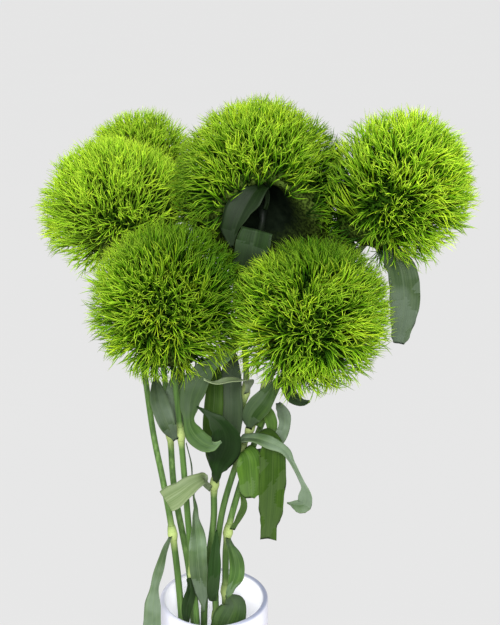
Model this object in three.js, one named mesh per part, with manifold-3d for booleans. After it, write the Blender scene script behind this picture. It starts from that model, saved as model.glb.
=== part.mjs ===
// Six cut stems of a green, fringed sweet william, standing in a plain white vase.
// Millimetres, +Z up. The origin is the centre of the vase's foot, and -Y is the front.
import * as THREE from "three";
import { ConvexGeometry } from "three/addons/geometries/ConvexGeometry.js";
import { mergeVertices } from "three/addons/utils/BufferGeometryUtils.js";
import Module from "manifold-3d";

// The space left between two pieces that touch
const seat = 0.35;

const vase = {
  outerRadius: 29,
  wall: 3,
  height: 160,
  floor: 5,
  edge: 1.4,
  facets: 32,
};

const water = { depth: 95, facets: 24, stemClearance: 0.9, holeOvershoot: 3 };

const stem = {
  footRadius: 2.1,
  neckRadius: 1.4,
  sides: 8,
  ringStep: 22,
  swelling: 1,
  swellingReach: 4.5,
  swellingFall: 2.5,
};

const head = {
  facePoints: 325,
  pointJitter: 0.035,
  coreShare: 0.7,
  dentShare: 0.3,
  hollowEdge: 12,
  tipSpread: 0.05,
  lean: 1.6,
  stubble: 0.4,
};

const blade = {
  thickness: 0.8,
  baseWidth: 3,
  tipWidth: 1.2,
  across: 2,
  rowStep: 6.5,
  fewestRows: 5,
  mostRows: 12,
  foldDepth: 0.12,
  broadestLow: 0.9,
  fullness: 0.75,
};

// One entry for each flower. `head` is the centre of its ball, and `path` is where its stem runs, from
// the cut end near the vase's floor, past the rim, to the last point before the head. `hollow` is the half
// angle of the bare hollow round the stem, under the ball, and `nodes` are the heights of swollen joints.
// A leaf grows from its stem at the height `at`, its midrib runs through the points of `way`, and its face
// is turned towards the directions in `faces`, from its base to its tip. `cut` is the share of the blade
// that is left where its end is missing.
const flowers = {
  frontLeft: {
    head: [-22.6, 5, 324],
    radius: 38.5,
    hollow: 30,
    path: [[0, -13, 5.9], [-10, -5, 160], [-13, -2, 207], [-16, 1, 253], [-19, 2, 290]],
    nodes: [176, 254],
    leaves: [
      {
        at: 253,
        width: 12,
        way: [[-19, -5.5, 262], [-25, 0.5, 271], [-30, 18, 281]],
        faces: [[0.2, -1, 0.2], [0.2, -1, 0.3]],
      },
      {
        at: 256,
        width: 9,
        way: [[-13, 7, 266], [-13, 15, 273], [-16, 30, 280]],
        faces: [[-0.3, -1, 0.2], [0, -1, 0.3]],
      },
      {
        at: 250,
        width: 9,
        way: [[-10.5, -2, 240], [-10, -3, 228], [-9, -9, 210], [-7, -13, 188], [-5, -12, 166]],
        faces: [[1, 0, 0.3], [1, 0, 0], [0, -1, 0], [-0.4, -1, 0]],
      },
      {
        at: 176,
        width: 6,
        way: [[-12, -8, 168], [-14, -10, 160], [-14, -11, 148]],
        faces: [[0.5, -1, 0], [-0.5, -1, 0]],
      },
    ],
  },
  frontRight: {
    head: [50.7, -6, 322],
    radius: 38,
    hollow: 30,
    path: [[14, -5, 5.9], [1, -6, 160], [4, -5, 208], [11, -2, 235], [20, 2, 259], [27, 4, 280]],
    nodes: [150, 245, 257, 281],
    leaves: [
      {
        at: 258,
        width: 11,
        way: [[20, -4, 267], [26, -5, 276], [32, -4, 286]],
        faces: [[-0.3, -1, 0.2], [0, -1, 0.2]],
      },
      {
        at: 260,
        width: 5,
        way: [[27, 2, 267], [30, 0, 262], [30, 0, 250]],
        faces: [[0, -1, 0.3], [0.3, -1, 0]],
      },
      {
        at: 254,
        width: 11,
        way: [[26, -7, 259], [30, -14, 257], [31, -16, 243], [30, -16, 226], [29, -15, 204]],
        faces: [[0, 0, 1], [0, -1, 0.2], [0, -1, 0]],
        cut: 0.74,
      },
      {
        at: 244,
        width: 12.5,
        way: [[16, -7, 248], [18, -10, 246], [19, -11, 238], [21, -11, 226]],
        faces: [[0, 0, 1], [0, -1, 0.2], [-0.2, -1, 0]],
      },
      {
        at: 251,
        width: 8,
        way: [
          [13.5, -6, 256], [17, -14, 260], [23, -19, 261], [30, -22, 259], [38, -23, 254],
          [43, -22, 244], [47, -20, 234], [46, -18, 220], [38, -14, 223],
        ],
        faces: [[0, -0.5, 1], [0, -0.8, 1], [0.4, -1, 0.3], [-0.4, -1, 0], [0, -1, -0.2]],
      },
      {
        at: 246,
        width: 7,
        way: [[25, -2, 246], [32, -5, 254], [36, -5, 264], [39, 4, 273], [41, 18, 276]],
        faces: [[0, -0.6, 1], [-0.5, -1, 0.3], [0.3, -1, 0], [0, -1, 0]],
      },
      {
        at: 280,
        width: 7,
        way: [[36, 9, 283], [42, 9, 280], [46, 8, 272], [47, 6, 265]],
        faces: [[0, -0.5, 1], [0.6, -1, 0], [0, -1, 0]],
      },
    ],
  },
  centre: {
    head: [23.9, 44, 380],
    radius: 41,
    hollow: 46,
    path: [
      [-7, 4, 5.9], [-5, 6, 160], [0, 8, 202], [1, 9, 225], [10, 11, 250], [17, 15, 272], [16, 28, 305],
      [19, 32, 338], [25.5, 24, 359],
    ],
    nodes: [222, 235, 272, 304, 318, 364],
    leaves: [
      {
        at: 364,
        width: 14,
        way: [[17, 20, 366], [13, 13, 358], [12, 10, 346]],
        faces: [[-0.3, -1, 0.4], [-0.2, -1, 0.2]],
      },
      {
        at: 318,
        width: 14,
        way: [[16, 23, 326], [19, 19.5, 342], [21, 17, 353], [20.5, 20.5, 357.5]],
        faces: [[0, -1, 0], [0, -1, 0.4]],
      },
      {
        at: 304,
        width: 11,
        way: [
          [9, 13, 296], [-3.5, 0, 286], [-11, -8, 275], [-12, -15, 260], [-6, -22, 253], [4, -27, 259],
        ],
        faces: [
          [-0.3, -1, 0.3], [-0.3, -1, 0.3], [-0.6, -0.9, 0.1], [-1, 0.3, -0.2], [-0.2, 0.8, -0.8],
          [0.6, -0.2, -0.8],
        ],
      },
      {
        at: 225,
        width: 15,
        way: [
          [2, -1, 232], [4, -10, 242], [7, -14, 252], [4, -17, 265], [-2, -18, 272], [-9, -16, 277],
        ],
        faces: [[-0.3, -1, 0.2], [0, -1, 0], [0, -1, 0.3]],
      },
      {
        at: 221,
        width: 10,
        way: [
          [-6, 2, 225], [-7, -7, 230], [-9, -13, 232], [-16, -18, 231], [-22, -20, 228],
          [-24, -21, 221],
        ],
        faces: [[0.2, -1, 0.6], [0, -1, 0.5]],
        cut: 0.7,
      },
      {
        at: 232,
        width: 7,
        way: [[0, 3, 245], [-1, 3, 258], [1, 7, 272], [2, 17, 283]],
        faces: [[0.2, -1, 0], [0, -1, 0.3]],
      },
      {
        at: 237,
        width: 10,
        way: [[9, 4, 250], [12, 5, 262], [12, 9, 273], [11, 17, 281]],
        faces: [[-0.2, -1, 0], [-0.2, -1, 0.3]],
      },
      {
        at: 272,
        width: 9,
        way: [[18, 7, 281], [12, -2, 286], [4, -7, 287], [-1, -10, 283], [-1, -10, 275]],
        faces: [[-0.3, 0.3, 1], [0, 0.1, 1], [-0.3, -0.2, 1], [-1, -0.8, 0.3]],
      },
    ],
  },
  right: {
    head: [96.8, 25.6, 378],
    radius: 36.5,
    hollow: 30,
    path: [
      [3, 17, 5.9], [6, 5, 160], [7, 6, 191], [12, 10, 213], [30, 24, 262], [60, 38, 318],
      [80, 33, 349],
    ],
    nodes: [160, 195, 318, 350],
    leaves: [
      {
        at: 350,
        width: 15,
        way: [[90, 22, 343], [94, 16, 336], [97, 13, 322], [96, 13, 309], [94, 15, 296]],
        faces: [[0, -0.6, 1], [0, -1, 0.3], [0, -1, 0]],
      },
      {
        at: 318,
        width: 8,
        way: [[60, 44, 331], [68, 42, 343], [66, 41, 352]],
        faces: [[-0.5, -1, 0], [0, -1, 0.3]],
      },
      {
        at: 193,
        width: 11,
        way: [[11, -5, 191], [15, -10, 185], [13, -13, 176], [9, -12, 168]],
        faces: [[0.4, -0.4, 1], [0.2, -1, 0.2], [0, -1, -0.3]],
      },
      {
        at: 198,
        width: 4,
        way: [[13, 3, 205], [16, 0, 215], [14, -1, 225]],
        faces: [[0.3, -1, 0], [0.3, -1, 0]],
      },
      {
        at: 160,
        width: 13,
        way: [[9, -4, 158], [7, -12, 152], [4, -16, 143], [3, -17, 130]],
        faces: [[0, -0.6, 1], [0, -1, 0.3]],
      },
    ],
  },
  left: {
    head: [-53.8, 60.8, 360.6],
    radius: 37,
    hollow: 30,
    path: [
      [-16, -5, 5.9], [-17.9, 0, 150], [-22, 3, 199], [-27, 13, 223], [-32, 24, 242], [-42, 42, 310],
    ],
    nodes: [196, 300],
    leaves: [
      {
        at: 196,
        width: 10,
        way: [
          [-27, -6, 195], [-30, -14, 187], [-30, -21, 178], [-31, -27, 165], [-32, -30, 150],
          [-32, -30, 130],
        ],
        faces: [[-1, -0.3, 0.6], [-1, -0.2, 0], [0, -1, 0], [0.2, -1, 0]],
      },
    ],
  },
  back: {
    head: [-46, 130.5, 368],
    radius: 34.5,
    hollow: 30,
    path: [[-12, 13, 5.9], [-13, 11, 160], [-22.3, 28, 210.6], [-25, 42, 238], [-36, 88, 315]],
    nodes: [236],
    leaves: [
      {
        at: 236,
        width: 9,
        way: [[-24, 54, 248], [-20, 66, 262], [-14, 78, 274], [-8, 90, 276]],
        faces: [[0, 1, 0.4], [0, 0.6, 1]],
      },
    ],
  },
};

const colours = {
  bract: new THREE.Color(0.42, 0.62, 0.05),
  stem: new THREE.Color(0.3, 0.43, 0.16),
  leaf: new THREE.Color(0.22, 0.35, 0.15),
  vase: new THREE.Color(0.93, 0.93, 0.95),
  water: new THREE.Color(0.8, 0.88, 0.9),
};

const wasm = await Module();
wasm.setup();

const degrees = THREE.MathUtils.degToRad;
const smoothstep = THREE.MathUtils.smoothstep;
const vector = (xyz) => new THREE.Vector3(...xyz);

// The same draws on every run
function seeded(seed) {
  let state = seed;
  return () => {
    state = (state + 0x6d2b79f5) | 0;
    let mixed = Math.imul(state ^ (state >>> 15), 1 | state);
    mixed = (mixed + Math.imul(mixed ^ (mixed >>> 7), 61 | mixed)) ^ mixed;
    return ((mixed ^ (mixed >>> 14)) >>> 0) / 4294967296;
  };
}

function onlyPositions(geometry) {
  geometry.deleteAttribute("normal");
  geometry.deleteAttribute("uv");
  return mergeVertices(geometry, 1e-4);
}

function solidOf(geometry) {
  return new wasm.Manifold(
    new wasm.Mesh({
      numProp: 3,
      vertProperties: geometry.getAttribute("position").array,
      triVerts: new Uint32Array(geometry.index.array),
    }),
  );
}

function geometryOf(solid) {
  const { vertProperties, triVerts } = solid.getMesh();
  return new THREE.BufferGeometry()
    .setAttribute("position", new THREE.BufferAttribute(vertProperties, 3))
    .setIndex(new THREE.BufferAttribute(triVerts, 1));
}

// A turned solid that stands on the XY plane, from [radius, height] pairs
function turned(profile, facets) {
  const outline = profile.map(([radius, height]) => new THREE.Vector2(radius, height));
  return onlyPositions(new THREE.LatheGeometry(outline, facets).rotateX(Math.PI / 2));
}

function vaseGeometry() {
  const { outerRadius, wall, height, floor, edge, facets } = vase;
  const innerRadius = outerRadius - wall;
  return turned(
    [
      [0, 0],
      [outerRadius - edge, 0],
      [outerRadius, edge],
      [outerRadius, height - edge],
      [outerRadius - edge, height],
      [innerRadius + edge, height],
      [innerRadius, height - edge],
      [innerRadius, floor],
      [0, floor],
    ],
    facets,
  );
}

// Where each flower's stem and head are

// The direction from the head's centre down to the end of the stem
function stemSide(flower) {
  return vector(flower.path.at(-1)).sub(vector(flower.head)).normalize();
}

function stemCurve(flower) {
  const neck = vector(flower.head).addScaledVector(
    stemSide(flower),
    flower.radius * head.dentShare + 2 * seat,
  );
  const curve = new THREE.CatmullRomCurve3([...flower.path.map(vector), neck], false, "centripetal");
  curve.arcLengthDivisions = 400;
  return curve;
}

// The share of the stem's length at which it reaches a height
function shareAtHeight(curve, height) {
  let low = 0;
  let high = 1;
  for (let i = 0; i < 30; i += 1) {
    const middle = (low + high) / 2;
    if (curve.getPointAt(middle).z < height) low = middle;
    else high = middle;
  }
  return (low + high) / 2;
}

function stemRadius(flower, curve, share) {
  const swell = flower.nodes.map((height) => {
    const away = ((share - shareAtHeight(curve, height)) * curve.getLength()) / stem.swellingReach;
    return Math.exp(-stem.swellingFall * away * away);
  });
  const plain = THREE.MathUtils.lerp(stem.footRadius, stem.neckRadius, share);
  return plain + stem.swelling * Math.max(0, ...swell);
}

// A tapered rod with swollen joints, turned on the lathe and bent along the stem's curve
function stemGeometry(flower) {
  const curve = stemCurve(flower);
  const length = curve.getLength();
  const nodeShares = flower.nodes.map((height) => shareAtHeight(curve, height));
  const shares = [];
  const steps = Math.round(length / stem.ringStep);
  for (let i = 0; i <= steps; i += 1) shares.push(i / steps);
  const reach = stem.swellingReach / length;
  const rings = shares.filter((share) => nodeShares.every((at) => Math.abs(share - at) > 1.5 * reach));
  nodeShares.forEach((at) => rings.push(at - reach, at, at + reach));
  rings.sort((a, b) => a - b);
  const profile = rings.map(
    (share) => new THREE.Vector2(stemRadius(flower, curve, share), share * length),
  );
  profile.unshift(new THREE.Vector2(0, 0));
  profile.push(new THREE.Vector2(0, length));
  const rod = new THREE.LatheGeometry(profile, stem.sides);
  const frame = framesAlong(curve);
  const place = rod.getAttribute("position");
  for (let i = 0; i < place.count; i += 1) {
    const { centre, side, up } = frame(THREE.MathUtils.clamp(place.getY(i) / length, 0, 1));
    const point = centre.addScaledVector(side, place.getX(i)).addScaledVector(up, place.getZ(i));
    place.setXYZ(i, point.x, point.y, point.z);
  }
  return onlyPositions(rod);
}

// A frame that stays square to the curve, with its side vector level and turned as little as possible
function framesAlong(curve) {
  return (share) => {
    const centre = curve.getPointAt(share);
    const along = curve.getTangentAt(share);
    const up = new THREE.Vector3(0, 1, 0).cross(along).normalize();
    const side = along.clone().cross(up).normalize();
    return { centre, along, side, up };
  };
}

// The fringed head: a dense core whose every face is drawn out into a bract. Two heads that press together
// are cut short at the plane between them.
function headGeometry(name) {
  const flower = flowers[name];
  const random = seeded(Object.keys(flowers).indexOf(name) + 11);
  const centre = vector(flower.head);
  const down = stemSide(flower);
  const walls = Object.values(flowers)
    .filter((other) => other !== flower)
    .map((other) => {
      const towards = vector(other.head).sub(centre);
      const apart = towards.length();
      return { normal: towards.normalize(), at: (apart + flower.radius - other.radius) / 2 - seat };
    });

  const golden = Math.PI * (3 - Math.sqrt(5));
  const directions = Array.from({ length: head.facePoints }, (_, i) => {
    const height = 1 - (2 * (i + 0.5)) / head.facePoints;
    const ring = Math.sqrt(1 - height * height);
    const jitter = new THREE.Vector3(random() - 0.5, random() - 0.5, random() - 0.5);
    return new THREE.Vector3(ring * Math.cos(golden * i), ring * Math.sin(golden * i), height)
      .addScaledVector(jitter, 2 * head.pointJitter)
      .normalize();
  });
  const faces = new ConvexGeometry(directions).getAttribute("position");

  const openness = (direction) => {
    const angle = THREE.MathUtils.radToDeg(direction.angleTo(down));
    return smoothstep(angle, flower.hollow - head.hollowEdge, flower.hollow + head.hollowEdge / 2);
  };
  const coreRadius = (direction) =>
    flower.radius * THREE.MathUtils.lerp(head.dentShare, head.coreShare, openness(direction));

  const points = [];
  const push = (...corners) => corners.forEach((corner) => points.push(corner.x, corner.y, corner.z));
  for (let i = 0; i < faces.count; i += 3) {
    const corners = [0, 1, 2].map((k) => new THREE.Vector3().fromBufferAttribute(faces, i + k).normalize());
    const middle = corners[0].clone().add(corners[1]).add(corners[2]).normalize();
    const onCore = (corner) => corner.clone().multiplyScalar(coreRadius(corner)).add(centre);
    const [a, b, c] = corners.map(onCore);
    const full = flower.radius * (1 - head.tipSpread * random());
    const bare = coreRadius(middle) + head.stubble;
    let reach = THREE.MathUtils.lerp(bare, full, openness(middle) ** 2);
    walls.forEach(({ normal, at }) => {
      const facing = middle.dot(normal);
      if (facing > 0) reach = Math.min(reach, (at - head.lean * 0.5) / facing);
    });
    const sideways = new THREE.Vector3(random() - 0.5, random() - 0.5, random() - 0.5)
      .multiplyScalar(2 * head.lean * openness(middle) ** 2)
      .projectOnPlane(middle);
    const tip = middle.multiplyScalar(reach).add(sideways).add(centre);
    push(a, b, tip, b, c, tip, c, a, tip);
  }
  const spiky = new THREE.BufferGeometry();
  spiky.setAttribute("position", new THREE.Float32BufferAttribute(points, 3));
  return onlyPositions(spiky);
}

// The directions of a leaf at a share of its length: along its midrib, across it, and out of its face
function bladeFrame(curve, faces, share) {
  const along = curve.getTangentAt(share);
  const place = share * (faces.length - 1);
  const from = Math.min(Math.floor(place), faces.length - 2);
  const towards = vector(faces[from]).normalize().lerp(vector(faces[from + 1]).normalize(), place - from);
  const side = along.clone().cross(towards).normalize();
  return { side, face: side.clone().cross(along) };
}

// The line of a leaf's midrib, from beside the stem to the tip
function midrib(flower, { at, way, faces }) {
  const stemLine = stemCurve(flower);
  const share = shareAtHeight(stemLine, at);
  const foot = stemLine.getPointAt(share);
  const first = vector(way[0]);
  const out = first.clone().sub(foot).projectOnPlane(stemLine.getTangentAt(share)).normalize();
  const { side, face } = bladeFrame(new THREE.LineCurve3(foot, first), faces, 0);
  const reach = (Math.abs(side.dot(out)) * blade.baseWidth + Math.abs(face.dot(out)) * blade.thickness) / 2;
  foot.addScaledVector(out, stemRadius(flower, stemLine, share) + seat + reach);
  return new THREE.CatmullRomCurve3([foot, ...way.map(vector)], false, "centripetal");
}

// A thin blade folded a little along its midrib. Both faces are split into the same triangles.
function leafGeometry(flower, leaf) {
  const curve = midrib(flower, leaf);
  const wanted = Math.round(curve.getLength() / blade.rowStep);
  const rows = THREE.MathUtils.clamp(wanted, blade.fewestRows, blade.mostRows);
  const sheet = new THREE.PlaneGeometry(1, 1, blade.across, rows);
  const place = sheet.getAttribute("position");
  const columns = blade.across + 1;
  const points = [];
  for (const facing of [0.5, -0.5]) {
    for (let i = 0; i < place.count; i += 1) {
      const s = (rows - Math.floor(i / columns)) / rows;
      const { side, face } = bladeFrame(curve, leaf.faces, s);
      const outline = s * (leaf.cut ?? 1);
      const full = leaf.width * Math.sin(Math.PI * outline ** blade.broadestLow) ** blade.fullness;
      const least = THREE.MathUtils.lerp(blade.baseWidth, blade.tipWidth, s);
      const halfWidth = Math.max(full, least) * place.getX(i);
      const fold = Math.abs(halfWidth) * blade.foldDepth * 2 * smoothstep(s, 0, 0.3);
      const corner = curve
        .getPointAt(s)
        .addScaledVector(side, halfWidth)
        .addScaledVector(face, fold + blade.thickness * facing);
      points.push(corner.x, corner.y, corner.z);
    }
  }
  const upper = Array.from(sheet.index.array);
  const triangles = [];
  for (let i = 0; i < upper.length; i += 3) {
    const [a, b, c] = upper.slice(i, i + 3);
    triangles.push(a, b, c, c + place.count, b + place.count, a + place.count);
  }
  const edge = [];
  for (let i = 0; i < columns; i += 1) edge.push(i);
  for (let i = 1; i <= rows; i += 1) edge.push(i * columns + blade.across);
  for (let i = blade.across - 1; i >= 0; i -= 1) edge.push(rows * columns + i);
  for (let i = rows - 1; i > 0; i -= 1) edge.push(i * columns);
  edge.forEach((a, i) => {
    const b = edge[(i + 1) % edge.length];
    triangles.push(a, b, a + place.count, b, b + place.count, a + place.count);
  });
  const solid = new THREE.BufferGeometry();
  solid.setAttribute("position", new THREE.Float32BufferAttribute(points, 3));
  solid.setIndex(triangles);
  return solid;
}

// A straight round hole for one stem, from under the water to above it
function stemHole(flower, low, high) {
  const curve = stemCurve(flower);
  const [bottom, top] = [low, high].map((height) => curve.getPointAt(shareAtHeight(curve, height)));
  const along = top.clone().sub(bottom).normalize();
  bottom.addScaledVector(along, -water.holeOvershoot);
  top.addScaledVector(along, water.holeOvershoot);
  const radius = stem.footRadius + water.stemClearance;
  const hole = new THREE.CylinderGeometry(radius, radius, bottom.distanceTo(top), stem.sides);
  hole.applyQuaternion(new THREE.Quaternion().setFromUnitVectors(new THREE.Vector3(0, 1, 0), along));
  hole.translate(...bottom.add(top).divideScalar(2));
  return solidOf(onlyPositions(hole));
}

function waterGeometry() {
  const radius = vase.outerRadius - vase.wall - seat;
  const low = vase.floor + seat;
  const high = low + water.depth;
  const full = turned(
    [
      [0, low],
      [radius, low],
      [radius, high],
      [0, high],
    ],
    water.facets,
  );
  return geometryOf(
    Object.values(flowers).reduce(
      (left, flower) => left.subtract(stemHole(flower, low, high)),
      solidOf(full),
    ),
  );
}

const materials = {
  bract: new THREE.MeshStandardMaterial({ color: colours.bract, roughness: 0.6 }),
  stem: new THREE.MeshStandardMaterial({ color: colours.stem, roughness: 0.5 }),
  leaf: new THREE.MeshStandardMaterial({ color: colours.leaf, roughness: 0.55 }),
  vase: new THREE.MeshStandardMaterial({ color: colours.vase, roughness: 0.2 }),
  water: new THREE.MeshStandardMaterial({ color: colours.water, roughness: 0.05 }),
};

const bunch = new THREE.Group();

function add(name, geometry, material) {
  geometry.computeVertexNormals();
  const mesh = new THREE.Mesh(geometry, material);
  mesh.name = name;
  bunch.add(mesh);
}

add("vase", vaseGeometry(), materials.vase);
add("water", waterGeometry(), materials.water);
for (const [name, flower] of Object.entries(flowers)) {
  add(`${name}_stem`, stemGeometry(flower), materials.stem);
  add(`${name}_head`, headGeometry(name), materials.bract);
  flower.leaves.forEach((leaf, i) => {
    add(`${name}_leaf_${i + 1}`, leafGeometry(flower, leaf), materials.leaf);
  });
}

export default bunch;
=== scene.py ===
import math
import random

import bmesh
import bpy
import numpy as np
from mathutils import Matrix, Vector, noise


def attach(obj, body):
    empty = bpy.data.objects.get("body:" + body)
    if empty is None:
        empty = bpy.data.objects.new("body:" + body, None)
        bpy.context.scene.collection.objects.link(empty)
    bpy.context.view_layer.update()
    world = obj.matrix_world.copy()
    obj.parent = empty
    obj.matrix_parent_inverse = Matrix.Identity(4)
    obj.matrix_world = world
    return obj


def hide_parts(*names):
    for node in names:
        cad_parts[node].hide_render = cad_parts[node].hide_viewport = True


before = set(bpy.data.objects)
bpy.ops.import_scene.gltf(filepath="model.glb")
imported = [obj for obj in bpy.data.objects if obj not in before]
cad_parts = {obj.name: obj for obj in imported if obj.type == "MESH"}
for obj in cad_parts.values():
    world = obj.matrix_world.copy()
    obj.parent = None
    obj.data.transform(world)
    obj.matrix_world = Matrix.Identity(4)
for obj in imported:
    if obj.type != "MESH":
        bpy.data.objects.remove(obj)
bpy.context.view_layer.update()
scene = bpy.context.scene
mm = 0.001
seat = 0.35  # the space that the part's solids keep between them, mm

# One entry per flower, in mm and degrees. Its stem runs along `path` from the cut foot, with joints at the
# heights in `nodes`. `hollow` is how far the head's bare patch reaches round the stem, `narrowing` how much
# less it reaches sideways, `rim` how far out the bracts spring beside it, as a share of the radius, and
# `combing` how much they lean over its edge. `banks` are directions in which bracts spring further out, by an
# amount, `bulges` ones in which the whole head swells, and `shades` ones in which painted shade darkens it,
# where neighbouring heads shade it. Bracts point away from `heart`, given in radii. `toneAndShade` is how
# bright a green is, lowered there by that painted shade, and `soft` how even the bracts' tones are.
# A leaf starts `at` a height, follows its `way` and turns its upper side to each of its `faces` in turn. Its
# `edges` are rows of a share of the length and its half widths, one for both sides or one for each, and its
# `toneAndShade` may have rows too; it is kept low as painted shade on leaves deep in the hollow or behind
# the front heads. `wave` is how far its edges ripple, and `ripples` how often. `branches` is how many
# stalks the hollow shows, and `stemShade` how dark the stem is, painted shade on stems that stand in shadow.
flowers = {}
flowers["frontLeft"] = dict(
    head=(-22.6, 5, 324), radius=38.5, hollow=13, toneAndShade=0.4, heart=(0.05, -0.1, -0.45),
    shades=[((0.3, 0.1, 1), 0.4), ((1, -0.1, 0), 0.4)], banks=[((0, 0, -1), 0.26), ((0.89, 0.41, 0.17), 0.2)],
    bulges=[((0.4, 0, 0.9), 0.08), ((0.2, 0, -1), 0.06), ((1, 0, -0.3), 0.2)], path=[(0, -13, 5.9),
    (-10, -5, 160), (-13, -2, 207), (-16, 1, 253), (-19, 2, 290)], nodes=[176, 254],
    leaves=[
        dict(at=253, width=9.5, look="bloom", wave=0.5, toneAndShade=0.28, way=[(-22, -5.5, 263), (-26, 0.5, 271),
             (-30, 18, 280)], faces=[(0.2, -1, 0.2), (0.2, -1, 0.3)]),
        dict(at=256, width=14, look="bloom", wave=0.4, fullness=0.5, way=[(-17, 6.5, 261), (-17, 9, 270),
             (-18, 20, 281)], faces=[(-0.1, -1, 0.2), (0, -1, 0.3)]),
        dict(at=250, look="bloom", wave=0.6, toneAndShade=[(0, 0.9), (0.55, 1), (0.75, 0.45), (1, 0.4)],
             edges=[(0, 1.5), (0.3, 1.8), (0.42, 3.4), (0.54, 4.8, 4.6), (0.7, 4.6), (0.86, 3.4, 3.6),
             (1, 0.4)], way=[(-11, -2, 240), (-10.3, -3, 226), (-9.2, -6, 209), (-8, -10, 196),
             (-7, -13, 183), (-4.8, -12.5, 159)], faces=[(1, 0, 0.3), (1, 0, 0), (0, -1, 0), (-0.4, -1, 0)]),
        dict(at=176, width=6, look="dark", way=[(-12, -8, 168), (-14, -10, 160), (-14, -11, 148)],
             faces=[(0.5, -1, 0), (-0.5, -1, 0)]),
    ],
)
flowers["frontRight"] = dict(
    head=(50.7, -6, 322), radius=38, hollow=13, toneAndShade=0.45, heart=(-0.15, -0.1, -0.45),
    shades=[((0, 0.1, 1), 0.5)], banks=[((0, 0, -1), 0.26), ((-0.83, 0.53, 0.16), 0.2)],
    bulges=[((-0.3, 0, -1), 0.06), ((-1, 0, -0.4), 0.22), ((0, 0, 1), -0.04)], stemShade=0.35,
    path=[(14, -5, 5.9), (1, -6, 160), (4, -5, 208), (11, -2, 235), (20, 2, 259), (27, 4, 280)],
    nodes=[150, 245, 257, 281],
    leaves=[
        dict(at=258, width=11, look="mid", wave=0.5, toneAndShade=0.3, way=[(20, -4, 267), (26, -5, 276),
             (32, -4, 286)], faces=[(-0.3, -1, 0.2), (0, -1, 0.2)]),
        dict(at=260, width=6, look="bright", wave=0.2, toneAndShade=0.7, way=[(27, 2, 267), (30, 0, 262),
             (30, 0, 250)], faces=[(0, -1, 0.3), (0.3, -1, 0)]),
        dict(at=254, look="bright", wave=0.8, toneAndShade=0.25, edges=[(0, 1.5), (0.2, 4), (0.35, 6.6, 6.8),
             (0.5, 6.8, 6.9), (0.75, 6.4, 6.1), (0.84, 5.2), (0.9, 4, 4.2), (1, 4.4, 4.1)],
             way=[(26, -7, 259), (30, -14, 257), (30.5, -16, 243), (30, -16, 226), (28.5, -15, 204)],
             faces=[(0, 0, 1), (0, -1, 0.2), (0, -1, 0)]),
        dict(at=244, look="bright", wave=0.6, toneAndShade=0.8, edges=[(0, 1.5), (0.2, 5), (0.4, 6.6),
             (0.75, 6.6, 6), (0.88, 5, 6), (1, 1.2, 3.4)], way=[(16, -7, 249), (18.5, -10, 247),
             (19.5, -11, 239), (20.5, -11, 225)], faces=[(0, 0, 1), (0, -1, 0.2), (-0.2, -1, 0)]),
        dict(at=251, look="bloom", wave=0.4, toneAndShade=0.75, edges=[(0, 1.5), (0.12, 2.7), (0.36, 3, 3.1),
             (0.47, 2.2, 2), (0.56, 1.1), (0.72, 1.1, 1.2), (0.83, 3.6, 3.8), (0.92, 4.4, 3), (1, 0.4)],
             way=[(13.5, -6, 255), (17, -10, 257.5), (22.5, -15, 259.5), (29, -19, 259), (36, -22, 256.5),
             (40.5, -22, 249), (44.5, -21, 240), (47, -20, 233), (46, -18, 225), (38, -15, 224)],
             faces=[(0, -0.5, 1), (0, -0.8, 1), (0.4, -1, 0.3), (-0.4, -1, 0), (0, -1, -0.2)]),
        dict(at=246, look="bloom", wave=0.9, edges=[(0, 1.2), (0.22, 1.4, 1.6), (0.38, 2.2, 2.6),
             (0.52, 3.3, 3.2), (0.75, 3.3, 3.4), (0.9, 2.4, 2.2), (1, 1)], way=[(25, -2, 246.5),
             (30, -5, 249), (34, -6, 255.5), (36.5, -5, 262), (36, 2, 266), (34, 10, 268)],
             faces=[(0, -0.6, 1), (-0.5, -1, 0.3), (0.3, -1, 0), (0, -1, 0)]),
        dict(at=280, width=7, look="dark", way=[(36, 9, 280), (41, 9, 272), (46, 9, 269), (50, 8, 270)],
             faces=[(0, -0.5, 1), (0.6, -1, 0), (0, -1, 0)]),
        dict(at=163, look="deep", toneAndShade=1, edges=[(0, 1.2), (0.12, 2), (0.35, 3), (0.62, 3.3),
             (0.8, 2.5, 2.4), (0.92, 1.4, 1.3), (1, 0.4)], way=[(-0.4, -13.5, 168), (0.4, -17, 177),
             (1, -17, 190), (2.3, -12.5, 207)], faces=[(0, -1, 0.2), (0.2, -1, 0), (0.3, -1, 0)]),
    ],
)
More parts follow.
